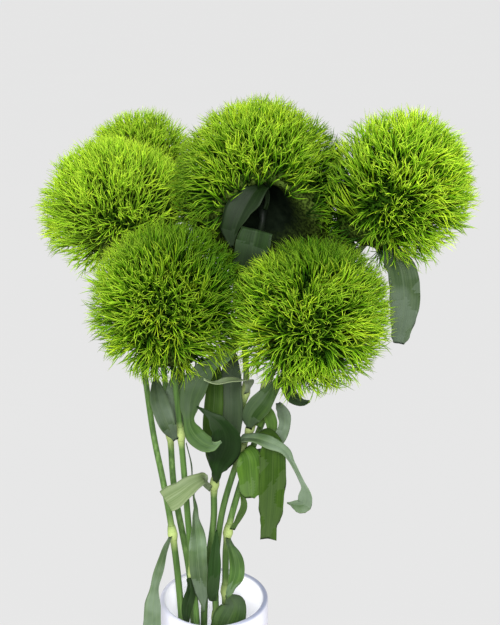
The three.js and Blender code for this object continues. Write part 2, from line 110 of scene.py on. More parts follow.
flowers["centre"] = dict(
    head=(23.9, 44, 380), radius=41, hollow=46, narrowing=10, rim=0.72, combing=0.9, branches=0, toneAndShade=0.45,
    heart=(0, -0.1, -0.35), shades=[((1, 0, -0.3), 0.6), ((-1, 0, -0.4), 0.35)], banks=[((0, 0.5, -1), 0.3),
    ((0.81, -0.15, -0.56), 0.24), ((-0.86, 0.14, -0.5), 0.26)], bulges=[((-0.8, 0.2, -0.7), 0.26),
    ((0.8, 0, -0.7), 0.28), ((1, 0, -0.2), 0.12), ((0, 0.3, -1), 0.2), ((0, 0, 1), -0.03)], stemShade=0.2,
    path=[(-7, 4, 5.9), (-5, 6, 160), (0, 8, 202), (1, 9, 225), (10, 11, 250), (17, 15, 272), (16, 28, 305),
    (19, 32, 338), (25.5, 24, 359)], nodes=[222, 235, 272, 304, 318, 364],
    leaves=[
        # painted shade: this leaf lies deep in the hollow and is darkened nearly to black
        dict(at=364, look="dark", toneAndShade=[(0, 0), (0.28, 0), (0.45, 0.1), (1, 0.1)], edges=[(0, 1), (0.2, 1.5),
             (0.34, 5, 3), (0.5, 6.6, 6.4), (0.66, 4, 8.6), (0.84, 1.6, 7.4), (0.95, 0.8, 3.6), (1, 0.5)],
             way=[(28, 25, 371), (26, 20, 380), (21.5, 15, 377), (16, 12.5, 368), (12, 11.5, 358.5),
             (10.5, 13, 350)], faces=[(-0.3, -1, 0.4), (-0.4, -1, 0.5), (-0.3, -1, 0.3), (-0.3, -1, 0.1)]),
        dict(at=318, look="dark", edges=[(0, 1.5), (0.2, 6), (0.45, 8, 7.5), (0.7, 8.6, 7.4), (0.9, 8.6),
             (1, 7, 8.4)], way=[(17, 23, 326), (19, 15, 340), (20.5, 9, 350), (22.5, 9.5, 359.5)],
             faces=[(0, -1, 0), (-0.2, -1, 0.3)]),
        dict(at=304, look="mid", wave=0.6, edges=[(0, 1.5), (0.12, 2.4), (0.24, 4, 3.8), (0.34, 4, 3.8),
             (0.4, 2.8), (0.48, 5.4, 5.2), (0.57, 6.6, 6.4), (0.65, 5), (0.73, 2.6, 2.8), (0.82, 4.6),
             (0.9, 4.2), (1, 0.4)], toneAndShade=[(0, 1), (0.38, 1), (0.44, 0.15), (0.68, 0.2), (0.76, 0.6),
             (0.9, 0.7), (1, 1)], way=[(11, 3, 302), (5.5, -5, 299), (-0.5, -9, 295), (-5, -11, 291),
             (-8.4, -12, 284.5), (-10.2, -14, 277), (-9.8, -18, 267), (-5.2, -22, 262), (1, -26, 260.5),
             (5.4, -28, 264)], faces=[(-0.3, -0.4, 1), (-0.3, -0.8, 0.6), (-0.2, -1, 0.1), (-0.3, -1, 0),
             (0, -1, 0.2), (0.3, -0.6, 0.7)]),
        dict(at=225, look="deep", wave=0.7, toneAndShade=[(0, 1), (0.28, 1), (0.42, 0.35), (1, 0.45)],
             edges=[(0, 1.5), (0.2, 2.5), (0.36, 5.4), (0.52, 8.2, 8), (0.66, 8.4, 7.4), (0.8, 5, 4),
             (0.9, 1.6, 1.4), (1, 0.4)], way=[(2, -1, 232), (3, -7, 241), (5.5, -12, 249.5),
             (7.5, -16, 258.5), (6, -18, 266.5), (1, -18, 272.5), (-6.5, -17, 277.5)], faces=[(-0.3, -1, 0.2),
             (0, -1, 0), (0, -1, 0.3)]),
        dict(at=221, look="pale", toneAndShade=0.4, edges=[(0, 1.5), (0.3, 1.6), (0.5, 2.8), (0.75, 4.6, 4.8),
             (0.94, 6), (1, 5.6, 5.8)], way=[(-4, -1, 228), (-4, -7, 234), (-6, -12, 235.5),
             (-10, -15, 234.5), (-15.5, -18, 231.5), (-22.5, -20, 227.5)],
             faces=[(0.2, -1, 0.6), (0, -1, 0.5)]),
        # painted shade: this leaf and the next are kept dark where their tops lie behind the front heads
        dict(at=232, width=10, look="bright", wave=0.4, fullness=0.4, toneAndShade=0.2, way=[(0.5, 3, 245),
             (0, 3, 258), (1, 7, 272), (1.5, 18, 290)], faces=[(0.2, -1, 0), (0, -1, 0.3)]),
        dict(at=237, width=13, look="mid", wave=0.5, fullness=0.4, toneAndShade=0.06, way=[(8, 4, 250),
             (9.5, 6, 262), (9.5, 11, 276), (10, 20, 293)], faces=[(-0.2, -1, 0), (-0.2, -1, 0.3)]),
        dict(at=272, width=6.5, look="pale", way=[(19, 7, 280), (16, 0, 284.5), (9.5, -7, 287),
             (2.5, -14.5, 288.5), (-3, -19, 292.6)], faces=[(-0.3, 0.3, 1), (0, 0.1, 1), (0, -0.1, 1),
             (-0.2, -0.5, 1)]),
    ],
)
flowers["right"] = dict(
    head=(96.8, 25.6, 378), radius=36.5, hollow=18, toneAndShade=0.6, heart=(-0.3, -0.1, -0.5),
    shades=[((-1, 0, -0.5), 0.35)], banks=[((-0.8, 0.22, -0.55), 0.24), ((0, 0, -1), 0.12)],
    bulges=[((0.1, 0, 1), 0.05), ((1, 0, 0), -0.11), ((0.3, 0, -1), 0.05), ((-0.8, 0.2, -0.75), 0.3),
    ((-1, 0.2, 0.1), 0.14)], path=[(3, 17, 5.9), (6, 5, 160), (7, 6, 191), (12, 10, 213), (30, 24, 262),
    (60, 38, 318), (80, 33, 349)], nodes=[160, 195, 318, 350],
    leaves=[
        dict(at=350, look="bloom", wave=1, toneAndShade=0.3, ripples=4, edges=[(0, 1.5), (0.2, 5.5, 6), (0.4, 7.4),
             (0.6, 8.2, 7.6), (0.78, 6.6), (0.92, 4.6, 4.8), (1, 2.6)], way=[(90, 21, 344), (94, 16, 339),
             (96, 13, 329), (96.5, 13, 316), (95, 15, 299)], faces=[(0, -0.6, 1), (0, -1, 0.3), (0, -1, 0)]),
        dict(at=318, width=17, look="dark", wave=0.4, toneAndShade=0.6, fullness=0.4, way=[(62, 35, 331),
             (66, 33, 343), (64, 32, 356)], faces=[(-0.5, -1, 0), (0, -1, 0.3)]),
        dict(at=193, look="mid", wave=0.7, toneAndShade=[(0, 0.75), (0.45, 0.7), (0.6, 1), (1, 1)], edges=[(0, 1.5),
             (0.2, 2.5, 2), (0.45, 4.6, 3), (0.62, 4.8, 3.2), (0.85, 2.4, 2), (1, 0.4)], way=[(9, -5, 193),
             (11, -9, 188), (11.5, -12, 181), (9, -13, 173), (7, -12, 167)], faces=[(0.4, -0.4, 1),
             (0.2, -1, 0.2), (0, -1, -0.3)]),
        dict(at=198, width=4, look="bright", wave=0.2, way=[(13, 3, 205), (16, 0, 215), (14, -1, 225)],
             faces=[(0.3, -1, 0), (0.3, -1, 0)]),
        dict(at=160, width=17, look="mid", wave=0.7, toneAndShade=0.35, way=[(11, -6, 158), (7.6, -13, 152),
             (4, -17, 143), (3, -17.5, 130)], faces=[(0, -0.6, 1), (0, -1, 0.3)]),
    ],
)
flowers["left"] = dict(
    head=(-53.8, 60.8, 360.6), radius=37, hollow=18, toneAndShade=0.75, soft=0.4, heart=(0.1, -0.2, -0.6), shades=[],
    banks=[((1, -0.2, -0.1), 0.25), ((-0.2, 0, -1), 0.14)], bulges=[((-0.9, 0, -0.6), 0.11),
    ((1, -0.2, -0.05), 0.2)], path=[(-16, -5, 5.9), (-17.9, 0, 150), (-22, 3, 199), (-27, 13, 223),
    (-32, 24, 242), (-42, 42, 310)], nodes=[196, 300],
    leaves=[
        dict(at=196, look="bloom", wave=0.6, toneAndShade=0.7, edges=[(0, 1.2), (0.12, 2.2), (0.24, 2.6),
             (0.34, 2.2, 2.4), (0.48, 4.4, 4.2), (0.66, 5, 4.8), (0.86, 4), (1, 0.6)], way=[(-24, -6, 195),
             (-26, -14, 191), (-27.5, -19, 186), (-29, -23, 180), (-30, -27, 172), (-31, -30, 155),
             (-32, -30, 130)], faces=[(-0.6, -0.8, 0.6), (-0.4, -1, 0), (0, -1, 0), (0.2, -1, 0)]),
    ],
)
flowers["back"] = dict(
    head=(-46, 130.5, 368), radius=34.5, hollow=18, toneAndShade=0.62, soft=0.3, heart=(0, 0, -0.5), shades=[],
    bulges=[((0.6, 0, 0.6), 0.05)], path=[(-12, 13, 5.9), (-13, 11, 160), (-22.3, 28, 210.6), (-25, 42, 238),
    (-36, 88, 315)], nodes=[236],
    leaves=[
        dict(at=236, width=9, look="dark", wave=0.5, way=[(-24, 54, 248), (-20, 66, 262), (-14, 78, 274),
             (-8, 90, 276)], faces=[(0, 1, 0.4), (0, 0.6, 1)]),
    ],
)

# Shared helpers

curve = dict(
    stepsPerSpan=40, tangentReach=0.002,
)

def mix(a, b, share):
    return a + (b - a) * share

def smoothStep(value, low, high):
    share = min(1, max(0, (value - low) / (high - low)))
    return share * share * (3 - 2 * share)

def rowValue(rows, share, column):  # a value from rows that each begin with a share of the length
    for low, high in zip(rows, rows[1:]):
        if share <= high[0]:
            return mix(low[column], high[column], smoothStep(share, low[0], high[0]))
    return rows[-1][column]

def curveThrough(points):  # gives the place and the direction at a share of the curve, and its length
    knots = [np.array(p, float) for p in points]
    knots = [2 * knots[0] - knots[1]] + knots + [2 * knots[-1] - knots[-2]]
    places = []
    for before, start, end, after in zip(knots, knots[1:], knots[2:], knots[3:]):
        a, b, c = (math.sqrt(np.linalg.norm(q - p)) for p, q in ((before, start), (start, end), (end, after)))
        leave = ((start - before) / a - (end - before) / (a + b) + (end - start) / b) * b
        arrive = ((end - start) / b - (after - start) / (b + c) + (after - end) / c) * b
        for t in np.linspace(0, 1, curve["stepsPerSpan"], endpoint=False):
            cubic = 2 * start - 2 * end + leave + arrive
            square = 3 * end - 3 * start - 2 * leave - arrive
            places.append(start + t * (leave + t * (square + t * cubic)))
    places = np.array(places + [knots[-2]])
    lengths = np.concatenate([[0], np.cumsum(np.linalg.norm(np.diff(places, axis=0), axis=1))])

    def placeAt(share):
        where = min(1, max(0, share)) * lengths[-1]
        return Vector([float(np.interp(where, lengths, places[:, k])) for k in range(3)])

    def directionAt(share):
        reach = curve["tangentReach"]
        share = min(1 - reach, max(reach, share))
        return (placeAt(share + reach) - placeAt(share - reach)).normalized()

    return placeAt, directionAt, float(lengths[-1])

def drawTube(bm, rings, sides, slot=0):  # a closed rod through rings of centre, side, up and radius
    for vert in bm.verts:
        vert.tag = True
    made = bmesh.ops.create_cone(bm, cap_ends=True, segments=sides, radius1=1, radius2=1, depth=1)["verts"]
    upright = [edge for edge in dict.fromkeys(edge for vert in made for edge in vert.link_edges)
               if abs(edge.verts[0].co.z - edge.verts[1].co.z) > 0.5]
    bmesh.ops.subdivide_edges(bm, edges=upright, cuts=len(rings) - 2)
    rod = [vert for vert in bm.verts if not vert.tag]
    ends = []
    for vert in rod:
        level = round((vert.co.z + 0.5) * (len(rings) - 1))
        centre, side, up, radius = rings[level]
        if level == len(rings) - 1:
            ends.append(vert)
        vert.co = centre + (side * vert.co.x + up * vert.co.y) * radius
    for vert in rod:
        for face in vert.link_faces:
            face.material_index = slot
    return rod, ends

def squareTo(along):
    up = Vector((0, 1, 0)).cross(along).normalized()
    return up.cross(along).normalized(), up

def meshFrom(bm, name):
    for face in bm.faces:
        face.smooth = True
    mesh = bpy.data.meshes.new(name)
    bm.to_mesh(mesh)
    bm.free()
    return mesh

def finishPiece(name, bm, materials, slot, *nodes):
    bmesh.ops.recalc_face_normals(bm, faces=bm.faces)
    bmesh.ops.scale(bm, vec=(mm, mm, mm), verts=bm.verts)
    return placePiece(name, meshFrom(bm, name), materials, slot, *nodes)

def placePiece(name, mesh, materials, slot, *nodes):
    for material in materials:
        mesh.materials.append(material)
    piece = bpy.data.objects.new(name, mesh)
    scene.collection.objects.link(piece)
    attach(piece, "root")
    if nodes:
        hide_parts(*nodes)
    return piece

# Materials

class Finish:  # a material with its node tree and a few shorthands
    def __init__(self, name, roughness, **sockets):
        self.material = bpy.data.materials.new(name)
        self.material.use_nodes = True
        self.tree = self.material.node_tree
        self.shader = self.tree.nodes["Principled BSDF"]
        self.output = self.tree.nodes["Material Output"]
        self.shader.inputs["Roughness"].default_value = roughness
        for socket, value in sockets.items():
            self.shader.inputs[socket.replace("_", " ")].default_value = value

    def node(self, kind, **settings):
        made = self.tree.nodes.new("ShaderNode" + kind)
        for key, value in settings.items():
            setattr(made, key, value)
        return made

    def link(self, start, end):
        self.tree.links.new(start, end)

    def attribute(self, name):
        return self.node("Attribute", attribute_name=name).outputs["Fac"]

    def ramp(self, factor, *stops):
        ramp = self.node("ValToRGB")
        while len(ramp.color_ramp.elements) < len(stops):
            ramp.color_ramp.elements.new(0.5)
        for element, (place, colour) in zip(ramp.color_ramp.elements, stops):
            element.position = place
            element.color = (*colour, 1)
        self.link(factor, ramp.inputs["Fac"])
        return ramp.outputs["Color"]

    def blend(self, factor, a, b, kind="MIX"):
        mixer = self.node("Mix", data_type="RGBA", blend_type=kind)
        for value, index in ((factor, 0), (a, 6), (b, 7)):  # the factor and the two colours among its sockets
            if isinstance(value, (int, float)):
                mixer.inputs[index].default_value = value
            elif isinstance(value, tuple):
                mixer.inputs[index].default_value = (*value, 1)
            else:
                self.link(value, mixer.inputs[index])
        return mixer.outputs[2]

    def tint(self, colour, tone):
        return self.blend(1.0, colour, tone, "MULTIPLY")

    def fade(self, factor, start, end, most=1.0):  # grows from 0 to `most` between two values
        return self.ramp(factor, (start, (0, 0, 0)), (end, (most,) * 3))

    def sums(self, operation, a, b):
        made = self.node("Math", operation=operation)
        for value, socket in ((a, made.inputs[0]), (b, made.inputs[1])):
            if isinstance(value, (int, float)):
                socket.default_value = value
            else:
                self.link(value, socket)
        return made.outputs[0]

    def noise(self, scale, detail=2, stretch=(1, 1, 1), uv=False):
        where = self.node("TexCoord").outputs["UV" if uv else "Object"]
        shift = self.node("Mapping")
        shift.inputs["Scale"].default_value = stretch
        self.link(where, shift.inputs["Vector"])
        made = self.node("TexNoise")
        made.inputs["Scale"].default_value = scale
        made.inputs["Detail"].default_value = detail
        self.link(shift.outputs["Vector"], made.inputs["Vector"])
        return made.outputs["Fac"]

    def bump(self, height, strength, distance):
        made = self.node("Bump")
        made.inputs["Strength"].default_value = strength
        made.inputs["Distance"].default_value = distance
        self.link(height, made.inputs["Height"])
        self.link(made.outputs["Normal"], self.shader.inputs["Normal"])

    def colour(self, colour, through=0.0):  # `through` is the share of light that passes to the far side
        self.link(colour, self.shader.inputs["Base Color"])
        if through:
            glow = self.node("BsdfTranslucent")
            both = self.node("MixShader")
            both.inputs["Fac"].default_value = through
            self.link(colour, glow.inputs["Color"])
            self.link(self.shader.outputs["BSDF"], both.inputs[1])
            self.link(glow.outputs["BSDF"], both.inputs[2])
            self.link(both.outputs["Shader"], self.output.inputs["Surface"])

# `plain` and `yellow` run from a bract's root to its tip, their dark roots painted shade deep in the head,
# and the rest are tones that multiply them
bractTones = dict(
    plain=((0.0, (0.01, 0.04, 0.002)), (0.3, (0.04, 0.13, 0.004)), (0.65, (0.18, 0.39, 0.008)),
    (1.0, (0.46, 0.62, 0.045))), yellow=((0.0, (0.03, 0.06, 0.003)), (0.3, (0.14, 0.23, 0.01)),
    (0.65, (0.3, 0.45, 0.012)), (1.0, (0.45, 0.6, 0.05))), yellowFrom=0.75, even=(0.17, 0.29, 0.014),
    through=0.42, perTuft=((0.0, (0.65, 0.72, 0.7)), (0.6, (1, 1, 1)), (1.0, (1.15, 1.1, 1))),
    perBract=((0.0, (0.6, 0.65, 0.6)), (1.0, (1.3, 1.3, 1.1))), perHead=((0.0, (0.3, 0.43, 0.25)),
    (1.0, (2.15, 1.95, 2.4))),
)

def bractFinish():
    finish = Finish("bract", 0.55, Specular_IOR_Level=0.12)
    along = finish.attribute("along")
    # painted shade: both ramps darken each bract towards its root, deep in the head
    plain = finish.ramp(along, *bractTones["plain"])
    yellow = finish.ramp(along, *bractTones["yellow"])
    ofTuft = finish.attribute("tuft")
    mixed = finish.blend(finish.fade(ofTuft, bractTones["yellowFrom"], 1), plain, yellow)
    shaded = finish.tint(mixed, finish.ramp(ofTuft, *bractTones["perTuft"]))
    toned = finish.tint(shaded, finish.ramp(finish.attribute("tone"), *bractTones["perBract"]))
    even = finish.blend(finish.attribute("soft"), toned, bractTones["even"])
    # the head's green, which carries its painted shade
    toneAndShadeScale = finish.ramp(finish.attribute("toneAndShade"), *bractTones["perHead"])
    finish.colour(finish.tint(even, toneAndShadeScale), through=bractTones["through"])
    return finish.material

# What shows between the bracts, and the lining of the hollow: near-black painted shade, which turns olive
# towards the hollow's rim, where it stands in for bracts in shade
coreShadeTones = dict(
    grain=260, strands=750, oliveFrom=0.55, lining=((0.3, (0.0025, 0.0045, 0.0025)),
    (0.75, (0.007, 0.011, 0.006))), olive=((0.4, (0.008, 0.014, 0.0025)), (0.62, (0.045, 0.073, 0.011))),
    between=((0.42, (0.001, 0.004, 0.0005)), (0.64, (0.02, 0.055, 0.003))),
)

def coreShadeFinish():
    finish = Finish("head core shade", 0.9, Specular_IOR_Level=0.0)
    strands = finish.noise(coreShadeTones["strands"], 2)
    lining = finish.ramp(finish.noise(coreShadeTones["grain"], 3), *coreShadeTones["lining"])
    olive = finish.ramp(strands, *coreShadeTones["olive"])
    between = finish.ramp(strands, *coreShadeTones["between"])
    # painted shade: near-black lining and gaps, olive nearer the rim
    nearRim = finish.fade(finish.attribute("along"), coreShadeTones["oliveFrom"], 1)
    finish.colour(finish.blend(finish.attribute("tuft"), finish.blend(nearRim, lining, olive), between))
    return finish.material

# `shade` is the near-black that painted shade takes a stem or a stalk to
stemTones = dict(
    green=((0.3, (0.035, 0.075, 0.018)), (0.55, (0.065, 0.125, 0.03)), (0.8, (0.12, 0.2, 0.06))),
    joint=(0.4, 0.48, 0.17), shade=(0.003, 0.005, 0.003), streak=90, stretch=(6, 6, 0.35), bump=0.25,
    bumpHeight=0.0004,
)

def stemFinish():
    finish = Finish("stem", 0.5, Specular_IOR_Level=0.08)
    streak = finish.noise(stemTones["streak"], 3, stretch=stemTones["stretch"])
    green = finish.ramp(streak, *stemTones["green"])
    joint = finish.blend(finish.fade(finish.attribute("swell"), 0, 1), green, stemTones["joint"])
    # painted shade: the stem darkens by its shade attribute
    finish.colour(finish.blend(finish.attribute("shade"), joint, stemTones["shade"]))
    finish.bump(streak, stemTones["bump"], stemTones["bumpHeight"])
    return finish.material

# `flesh`, `deep` and `vein` are a blade's greens, `wax` the grey film on it, `film` how much of it there is,
# and `through` the share of light that the blade lets through
leafLooks = dict(
    dark=dict(flesh=(0.015, 0.038, 0.007), deep=(0.008, 0.021, 0.004), vein=(0.035, 0.065, 0.022),
         wax=(0.05, 0.075, 0.042), film=0.3, through=0.1),
    deep=dict(flesh=(0.012, 0.035, 0.006), deep=(0.007, 0.022, 0.003), vein=(0.02, 0.046, 0.012),
         wax=(0.028, 0.045, 0.02), film=0.15, through=0.08),
    mid=dict(flesh=(0.06, 0.12, 0.026), deep=(0.03, 0.07, 0.016), vein=(0.1, 0.17, 0.05),
         wax=(0.15, 0.21, 0.13), film=0.5, through=0.25),
    bloom=dict(flesh=(0.085, 0.135, 0.055), deep=(0.05, 0.09, 0.035), vein=(0.14, 0.2, 0.1),
         wax=(0.19, 0.25, 0.18), film=0.75, through=0.2),
    bright=dict(flesh=(0.085, 0.18, 0.02), deep=(0.045, 0.11, 0.012), vein=(0.13, 0.23, 0.045),
         wax=(0.15, 0.23, 0.09), film=0.25, through=0.4),
    pale=dict(flesh=(0.28, 0.36, 0.17), deep=(0.17, 0.25, 0.095), vein=(0.36, 0.44, 0.24),
         wax=(0.38, 0.45, 0.31), film=0.5, through=0.3),
)

leafPattern = dict(
    veins=20, veinStretch=(1, 0.04, 1), bands=4, bandStretch=(1, 0.3, 1), patches=55, deepTo=0.42,
    fleshFrom=0.58, waxFrom=0.4, waxFull=0.7, undersideWax=0.35, rib=((0.0, (0.55,) * 3), (0.02, (0.25,) * 3),
    (0.05, (0, 0, 0)), (0.47, (0, 0, 0)), (0.5, (0.8,) * 3)), toneAndShade=((0.0, (0.35,) * 3), (1.0, (1.1,) * 3)),
    ribRelief=3, bump=0.35, bumpHeight=0.0006,
)

def leafFinish(look, underside):
    tones = leafLooks[look]
    finish = Finish("leaf " + look + (" underside" if underside else ""), 0.5, Specular_IOR_Level=0.08)
    place = finish.node("SeparateXYZ")
    finish.link(finish.node("TexCoord").outputs["UV"], place.inputs[0])
    offRib = finish.sums("ABSOLUTE", finish.sums("SUBTRACT", place.outputs["X"], 0.5), 0)
    rib = finish.ramp(offRib, *leafPattern["rib"])  # the midrib, and the pale margin
    veins = finish.noise(leafPattern["veins"], 3, stretch=leafPattern["veinStretch"], uv=True)
    bands = finish.noise(leafPattern["bands"], 1, stretch=leafPattern["bandStretch"], uv=True)
    streaks = finish.sums("ADD", finish.sums("MULTIPLY", veins, 0.5), finish.sums("MULTIPLY", bands, 0.5))
    fleshy = finish.fade(streaks, leafPattern["deepTo"], leafPattern["fleshFrom"])
    flesh = finish.blend(fleshy, tones["deep"], tones["flesh"])
    patches = finish.noise(leafPattern["patches"], 3)
    film = finish.fade(patches, leafPattern["waxFrom"], leafPattern["waxFull"], tones["film"])
    ribbed = finish.blend(rib, finish.blend(film, flesh, tones["wax"]), tones["vein"])
    if underside:
        ribbed = finish.blend(leafPattern["undersideWax"], ribbed, tones["wax"])
    # the blade's green, kept low as painted shade on leaves in the hollow or behind the heads
    toneAndShadeScale = finish.ramp(finish.attribute("toneAndShade"), *leafPattern["toneAndShade"])
    finish.colour(finish.tint(ribbed, toneAndShadeScale), through=tones["through"])
    relief = finish.sums("ADD", veins, finish.sums("MULTIPLY", offRib, leafPattern["ribRelief"]))
    finish.bump(relief, leafPattern["bump"], leafPattern["bumpHeight"])
    return finish.material

# `lip` is the blue-grey of the painted shade on the lip, and `glow` how strongly the inside glows as painted
# light
glazeTones = dict(
    outside=((0.3, (0.72, 0.72, 0.8)), (0.7, (0.76, 0.76, 0.84))), within=(0.94, 0.94, 0.95),
    lip=(0.1, 0.13, 0.22), through=0.3, glow=0.32, clouds=9, dimples=35, bump=0.05, bumpHeight=0.0005,
)

def glazeFinish():
    finish = Finish("vase glaze", 0.12, Coat_Weight=0.4, Coat_Roughness=0.05,
                    Emission_Color=(0.95, 0.96, 1, 1))
    outside = finish.ramp(finish.noise(glazeTones["clouds"], 2), *glazeTones["outside"])
    within, lip = finish.attribute("within"), finish.attribute("lip")
    white = finish.blend(within, outside, glazeTones["within"])
    # painted shade: the lip blends to blue-grey, more on the right side
    finish.colour(finish.blend(lip, white, glazeTones["lip"]), through=glazeTones["through"])
    # painted light: the inside glows, standing in for the light thrown about in the vase
    lit = finish.sums("MULTIPLY", within, finish.sums("SUBTRACT", 1, lip))  # light thrown about in the vase
    glow = finish.sums("MULTIPLY", lit, glazeTones["glow"])
    finish.link(glow, finish.shader.inputs["Emission Strength"])
    finish.bump(finish.noise(glazeTones["dimples"], 2), glazeTones["bump"], glazeTones["bumpHeight"])
    return finish.material

def waterFinish():
    finish = Finish("water", 0.02, Transmission_Weight=1.0, IOR=1.33)
    finish.colour(finish.ramp(finish.noise(20, 1), (0.3, (0.93, 0.97, 0.95)), (0.7, (0.98, 1, 0.99))))
    return finish.material

bract, core, stemGreen = bractFinish(), coreShadeFinish(), stemFinish()
glaze, clearWater = glazeFinish(), waterFinish()
leafFaces = {look: [leafFinish(look, False), leafFinish(look, True)] for look in leafLooks}
print("materials ready")

# Vase and water

# The two lip values are how much of the lip's blue-grey painted shade shows on its left and on its right side
vase = dict(
    outerRadius=29, wall=3, height=160, floor=5, steps=96, lip=1.4, lipSegments=4, lipShadeLeft=0.34,
    lipShadeRight=0.85, toneBlend=1,
)

def buildVase():
    bm = bmesh.new()
    outer, height, floor = vase["outerRadius"], vase["height"], vase["floor"]
    inner = outer - vase["wall"]
    profile = [(0, 0), (outer, 0), (outer, height), (inner, height), (inner, floor), (0, floor)]
    verts = [bm.verts.new((x, 0, z)) for x, z in profile]
    edges = [bm.edges.new(pair) for pair in zip(verts, verts[1:])]
    bmesh.ops.spin(bm, geom=verts + edges, axis=(0, 0, 1), cent=(0, 0, 0), steps=vase["steps"],
                   angle=2 * math.pi, use_merge=True)
    bmesh.ops.remove_doubles(bm, verts=bm.verts, dist=0.001)
    corners = [edge for edge in bm.edges if len(edge.link_faces) == 2 and edge.calc_face_angle(0) > 1
               and edge.verts[0].co.to_2d().length > inner - 0.1]
    bmesh.ops.bevel(bm, geom=corners, offset=vase["lip"], segments=vase["lipSegments"], affect="EDGES",
                    profile=0.5, material=-1)
    within, lip = bm.verts.layers.float.new("within"), bm.verts.layers.float.new("lip")
    for vert in bm.verts:
        vert[within] = 1 - smoothStep(vert.co.to_2d().length, inner - 0.05, inner + vase["toneBlend"])
        # painted shade: the lip darkens towards the right side
        tone = mix(vase["lipShadeLeft"], vase["lipShadeRight"], smoothStep(vert.co.x / inner, 0, 1))
        vert[lip] = tone * smoothStep(vert.co.z, height - vase["lip"] - 0.1, height)
    return finishPiece("whiteVase", bm, [glaze], "vase", "vase")

buildVase()
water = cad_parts["water"]
water.data.materials.clear()
water.data.materials.append(clearWater)
print("vase built")

# Stems

# `collar` is the sheath that a leaf pair makes round a joint, as rows of lift and flare
stem = dict(
    footRadius=2.1, neckRadius=1.4, sides=14, ringStep=5, ringGap=0.5, jointRings=(-3, -1.6, 0, 1.6, 3),
    swelling=1, swellingReach=4.5, swellingFall=2.5, paleReach=1.6, collarHeight=5, collarFlare=0.5,
    dentShare=0.3, collar=((-0.6, 0.1), (0.4, 0.35), (0.5, 0.5), (0.9, 0.55), (1.0, 0.35), (0.8, 0.15)),
    # within these distances, in head radii, painted shade darkens the stem inside the head
    darkWithin=0.75, lightBeyond=1.15,
)

def stemSide(flower):
    return (Vector(flower["path"][-1]) - Vector(flower["head"])).normalized()

def stemCurve(flower):
    neck = Vector(flower["head"]) + stemSide(flower) * (flower["radius"] * stem["dentShare"] + 2 * seat)
    return curveThrough([*flower["path"], tuple(neck)])

def shareAtHeight(placeAt, height):
    low, high = 0.0, 1.0
    for _ in range(24):
        middle = (low + high) / 2
        low, high = (middle, high) if placeAt(middle).z < height else (low, middle)
    return (low + high) / 2

def stemRadius(share, length, nodeShares):
    swell = max(math.exp(-stem["swellingFall"] * ((share - at) * length / stem["swellingReach"]) ** 2)
                for at in nodeShares)
    return mix(stem["footRadius"], stem["neckRadius"], share) + stem["swelling"] * swell

def buildStem(name, flower):
    placeAt, directionAt, length = stemCurve(flower)
    nodeShares = [shareAtHeight(placeAt, height) for height in flower["nodes"]]
    shares = list(np.linspace(0, 1, round(length / stem["ringStep"]) + 1))
    shares += [at + away / length for at in nodeShares for away in stem["jointRings"]]
    shares = sorted(share for share in shares if 0 <= share <= 1)
    shares = [share for i, share in enumerate(shares)
              if i == 0 or share - shares[i - 1] > stem["ringGap"] / length]
    bm = bmesh.new()
    swellLayer = bm.verts.layers.float.new("swell")
    shadeLayer = bm.verts.layers.float.new("shade")
    rings = []
    for share in shares:
        rings.append((placeAt(share), *squareTo(directionAt(share)), stemRadius(share, length, nodeShares)))
    drawTube(bm, rings, stem["sides"])
    for at in nodeShares:
        rings = []
        for lift, flare in stem["collar"]:
            share = at + lift * stem["collarHeight"] / length
            radius = stemRadius(share, length, nodeShares) + flare * stem["collarFlare"]
            rings.append((placeAt(share), *squareTo(directionAt(share)), radius))
        if at + stem["collarHeight"] / length <= 1:  # a joint too near the head has no sheath
            drawTube(bm, rings, stem["sides"])
    heights = [placeAt(at) for at in nodeShares]
    for vert in bm.verts:
        near = min((vert.co - place).length for place in heights)
        vert[swellLayer] = max(0, 1 - near / (stem["paleReach"] * stem["swellingReach"]))
        # painted shade: the stem darkens inside the head's hollow, and by its stemShade all along
        fromHead = (vert.co - Vector(flower["head"])).length / flower["radius"]
        dark = 1 - smoothStep(fromHead, stem["darkWithin"], stem["lightBeyond"])
        vert[shadeLayer] = max(flower.get("stemShade", 0), dark)
    return finishPiece(name + "Stem", bm, [stemGreen], "stem", name + "_stem")

# Leaves

blade = dict(
    thickness=0.45, baseWidth=3, tipWidth=0.8, columns=10, rowStep=1.6, leastRows=14, broadestLow=0.9,
    fullness=0.75, seatThickness=0.8, toneAndShade=0.5, wave=0.3, flatShare=0.3, foldDepth=0.24, ribDepth=0.25,
    ribWidth=0.06, rippleLength=22, rippleOffset=0.3, raggedness=0.1, raggedStep=7, raggedSpread=50,
    raggedOffset=9,
)

def bladeFrame(directionAt, faces, share):
    along = directionAt(share)
    place = share * (len(faces) - 1)
    start = min(int(place), len(faces) - 2)
    towards = Vector(faces[start]).normalized().lerp(Vector(faces[start + 1]).normalized(), place - start)
    side = along.cross(towards).normalized()
    return side, side.cross(along)

def midrib(flower, leaf):
    placeAt, directionAt, length = stemCurve(flower)
    nodeShares = [shareAtHeight(placeAt, height) for height in flower["nodes"]]
    share = shareAtHeight(placeAt, leaf["at"])
    foot, first = placeAt(share), Vector(leaf["way"][0])
    stemWay = directionAt(share)
    out = first - foot
    out = (out - stemWay * out.dot(stemWay)).normalized()
    side, face = bladeFrame(lambda _: (first - foot).normalized(), leaf["faces"], 0)
    reach = (abs(side.dot(out)) * blade["baseWidth"] + abs(face.dot(out)) * blade["seatThickness"]) / 2
    foot += out * (stemRadius(share, length, nodeShares) + seat + reach)
    return curveThrough([tuple(foot), *leaf["way"]])

def halfWidthAt(leaf, share, across):  # `across` runs from -0.5 to 0.5
    if "edges" in leaf:
        return 2 * across * rowValue(leaf["edges"], share, 1 if across < 0 else -1)
    fullness = leaf.get("fullness", blade["fullness"])
    full = leaf["width"] * max(0, math.sin(math.pi * share ** blade["broadestLow"])) ** fullness
    return max(full, mix(blade["baseWidth"], blade["tipWidth"], share)) * across

